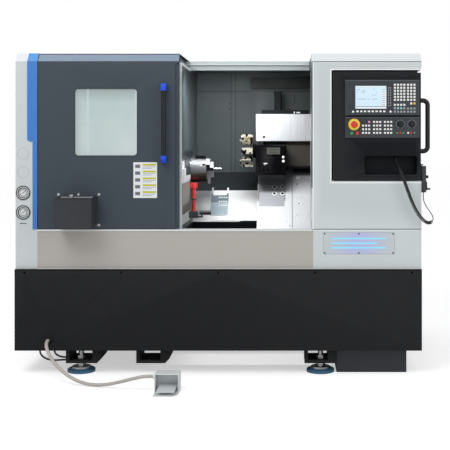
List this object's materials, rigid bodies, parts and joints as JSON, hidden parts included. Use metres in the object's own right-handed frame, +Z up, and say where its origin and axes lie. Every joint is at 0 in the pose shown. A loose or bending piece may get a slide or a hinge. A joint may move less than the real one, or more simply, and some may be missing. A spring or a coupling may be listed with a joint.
{
  "type": "cnc turning lathe",
  "caption": "Slant-bed turning lathe in a sheet metal housing with a sliding door, chuck, tool turret, swing-out control box and foot pedal.",
  "frame": {"origin": "centre of the footprint on the floor, cords left out", "axes": "+X to the right along the spindle as the operator sees it, +Y to the back, +Z up"},
  "size_m": [2.3296, 1.79, 1.793],
  "materials": {
    "light_panel": "satin",
    "door_paint": "satin",
    "taupe_paint": "satin",
    "base_paint": "satin",
    "tank_paint": "satin",
    "foot_paint": "satin",
    "zinc_steel": "zinc plated",
    "inner_paint": "satin",
    "stainless": "brushed",
    "machined_steel": "turned",
    "cast_iron": "painted casting",
    "pump_paint": "satin",
    "motor_black": "satin",
    "belt_rubber": "matt",
    "gauge_black": "gloss",
    "work_steel": "turned",
    "holder_steel": "ground",
    "red_paint": "gloss",
    "window_glass": "clear laminate",
    "handle_black": "moulded",
    "control_paint": "fine texture",
    "panel_grey": "membrane",
    "key_grey": "membrane",
    "button_red": "gloss",
    "button_green": "gloss",
    "knob_black": "moulded",
    "hand_unit_grey": "moulded",
    "cord_black": "matt",
    "conduit_grey": "ribbed",
    "hose_blue": "smooth",
    "pedal_paint": "hammered",
    "tread_steel": "ribbed"
  },
  "bodies": {
    "machine_frame": {"base_housing": "base_paint", "foot_pads": "foot_paint", "foot_screws": "zinc_steel", "coolant_tank": "tank_paint", "coolant_pump": "pump_paint", "left_end_cover": "light_panel", "front_apron": "taupe_paint", "door_frame": "stainless", "spindle_side_wall": "inner_paint", "back_wall": "inner_paint", "rear_hood": "light_panel", "pressure_gauges": "gauge_black", "chip_pan": "inner_paint", "bed_casting": "cast_iron", "headstock": "cast_iron", "drive_belt": "belt_rubber", "spindle_motor": "motor_black", "bed_cover_fixed": "stainless", "arm_base": "inner_paint", "right_cover": "light_panel", "right_lower_panel": "taupe_paint", "pedal_body": "pedal_paint", "pedal_conduit": "conduit_grey", "base_hoses": "hose_blue"},
    "door": {"door_shell": "door_paint", "door_window": "window_glass", "door_handle": "handle_black", "tool_tray": "door_paint"},
    "spindle_line": {"spindle": "machined_steel", "chuck_body": "machined_steel", "work_bar": "work_steel"},
    "jaw_1": {"chuck_jaw_1": "machined_steel"},
    "jaw_2": {"chuck_jaw_2": "machined_steel"},
    "jaw_3": {"chuck_jaw_3": "machined_steel"},
    "motor_wheel": {"motor_pulley": "machined_steel"},
    "carriage": {"saddle": "cast_iron", "saddle_apron": "stainless", "saddle_hood": "stainless"},
    "bed_screw_body": {"bed_screw": "machined_steel"},
    "cover_middle": {"bed_cover_middle": "stainless"},
    "cross_slide_body": {"cross_slide": "cast_iron", "turret_housing": "cast_iron"},
    "cross_screw_body": {"cross_screw": "machined_steel"},
    "turret": {"turret_disc": "machined_steel", "tool_holders": "holder_steel"},
    "probe_arm": {"setting_arm": "red_paint"},
    "control": {"control_box": "control_paint", "box_handle": "handle_black", "control_panels": "panel_grey", "panel_keys": "key_grey", "hand_unit": "hand_unit_grey", "hand_cord": "cord_black"},
    "stop": {"stop_button": "button_red"},
    "start": {"start_button": "button_green"},
    "halt": {"halt_button": "button_red"},
    "knob_1": {"override_knob_1": "knob_black"},
    "knob_2": {"override_knob_2": "knob_black"},
    "wheel": {"hand_wheel": "knob_black"},
    "selector": {"hand_selector": "knob_black"},
    "tread": {"pedal_tread": "tread_steel"}
  },
  "joints": [
    {"name": "door_slide", "type": "slide", "parent": "machine_frame", "child": "door", "axis": [1, 0, 0], "range_m": [0, 0.733]},
    {"name": "spindle_spin", "type": "hinge", "parent": "machine_frame", "child": "spindle_line", "pos_m": [-0.2395, 0.205, 1.126], "axis": [1, 0, 0], "continuous": true},
    {"name": "jaw_slide_1", "type": "slide", "parent": "spindle_line", "child": "jaw_1", "axis": [0, -0.866, 0.5], "range_m": [0, 0.00275]},
    {"name": "jaw_slide_2", "type": "slide", "parent": "spindle_line", "child": "jaw_2", "axis": [0, 0.866, 0.5], "range_m": [0, 0.00275]},
    {"name": "jaw_slide_3", "type": "slide", "parent": "spindle_line", "child": "jaw_3", "axis": [0, 0, -1], "range_m": [0, 0.00275]},
    {"name": "motor_spin", "type": "hinge", "parent": "machine_frame", "child": "motor_wheel", "pos_m": [-0.7385, 0.205, 0.765], "axis": [1, 0, 0], "continuous": true},
    {"name": "carriage_slide", "type": "slide", "parent": "machine_frame", "child": "carriage", "axis": [1, 0, 0], "range_m": [-0.11, 0.24]},
    {"name": "bed_screw_turn", "type": "hinge", "parent": "machine_frame", "child": "bed_screw_body", "pos_m": [-0.0265, 0.46656, 0.80539], "axis": [1, 0, 0], "range_deg": [-3970, 8650]},
    {"name": "cover_slide", "type": "slide", "parent": "machine_frame", "child": "cover_middle", "axis": [1, 0, 0], "range_m": [-0.056, 0.121]},
    {"name": "cross_slide_move", "type": "slide", "parent": "carriage", "child": "cross_slide_body", "axis": [0, -0.7071, -0.7071], "range_m": [0, 0.159]},
    {"name": "cross_screw_turn", "type": "hinge", "parent": "carriage", "child": "cross_screw_body", "pos_m": [0.2575, 0.47787, 1.06702], "axis": [0, 0.7071, 0.7071], "range_deg": [-20, 11460]},
    {"name": "turret_index", "type": "hinge", "parent": "cross_slide_body", "child": "turret", "pos_m": [0.1145, 0.3169, 1.2379], "axis": [1, 0, 0], "continuous": true},
    {"name": "arm_swing", "type": "hinge", "parent": "machine_frame", "child": "probe_arm", "pos_m": [-0.2205, 0.145, 0.9], "axis": [0, 0, 1], "range_deg": [0, 90]},
    {"name": "control_swing", "type": "hinge", "parent": "machine_frame", "child": "control", "pos_m": [0.6115, -0.429, 1.39], "axis": [0, 0, -1], "range_deg": [0, 75]},
    {"name": "stop_press", "type": "slide", "parent": "control", "child": "stop", "axis": [0, 1, 0], "range_m": [0, 0.006]},
    {"name": "start_press", "type": "slide", "parent": "control", "child": "start", "axis": [0, 1, 0], "range_m": [0, 0.003], "stiffness_N_per_m": 300},
    {"name": "halt_press", "type": "slide", "parent": "control", "child": "halt", "axis": [0, 1, 0], "range_m": [0, 0.003], "stiffness_N_per_m": 300},
    {"name": "knob_turn_1", "type": "hinge", "parent": "control", "child": "knob_1", "pos_m": [0.9855, -0.443, 1.395], "axis": [0, 1, 0], "range_deg": [-135, 135]},
    {"name": "knob_turn_2", "type": "hinge", "parent": "control", "child": "knob_2", "pos_m": [1.0485, -0.443, 1.395], "axis": [0, 1, 0], "range_deg": [-135, 135]},
    {"name": "wheel_spin", "type": "hinge", "parent": "control", "child": "wheel", "pos_m": [1.1285, -0.407, 1.05], "axis": [1, 0, 0], "continuous": true},
    {"name": "selector_turn", "type": "hinge", "parent": "control", "child": "selector", "pos_m": [1.1285, -0.407, 1.101], "axis": [1, 0, 0], "range_deg": [-60, 60]},
    {"name": "pedal_press", "type": "hinge", "parent": "machine_frame", "child": "tread", "pos_m": [-0.2655, -0.765, 0.024], "axis": [1, 0, 0], "range_deg": [0, 6], "stiffness_Nm_per_rad": 8, "springref_deg": -5.73}
  ],
  "couplings": [
    {"joint": "jaw_slide_2", "follows": "jaw_slide_1", "ratio": 1},
    {"joint": "jaw_slide_3", "follows": "jaw_slide_1", "ratio": 1},
    {"joint": "motor_spin", "follows": "spindle_spin", "ratio": 1.5},
    {"joint": "bed_screw_turn", "follows": "carriage_slide", "rad_per_m": 628.32},
    {"joint": "cover_slide", "follows": "carriage_slide", "ratio": 0.5},
    {"joint": "cross_screw_turn", "follows": "cross_slide_move", "rad_per_m": 1256.6}
  ]
}
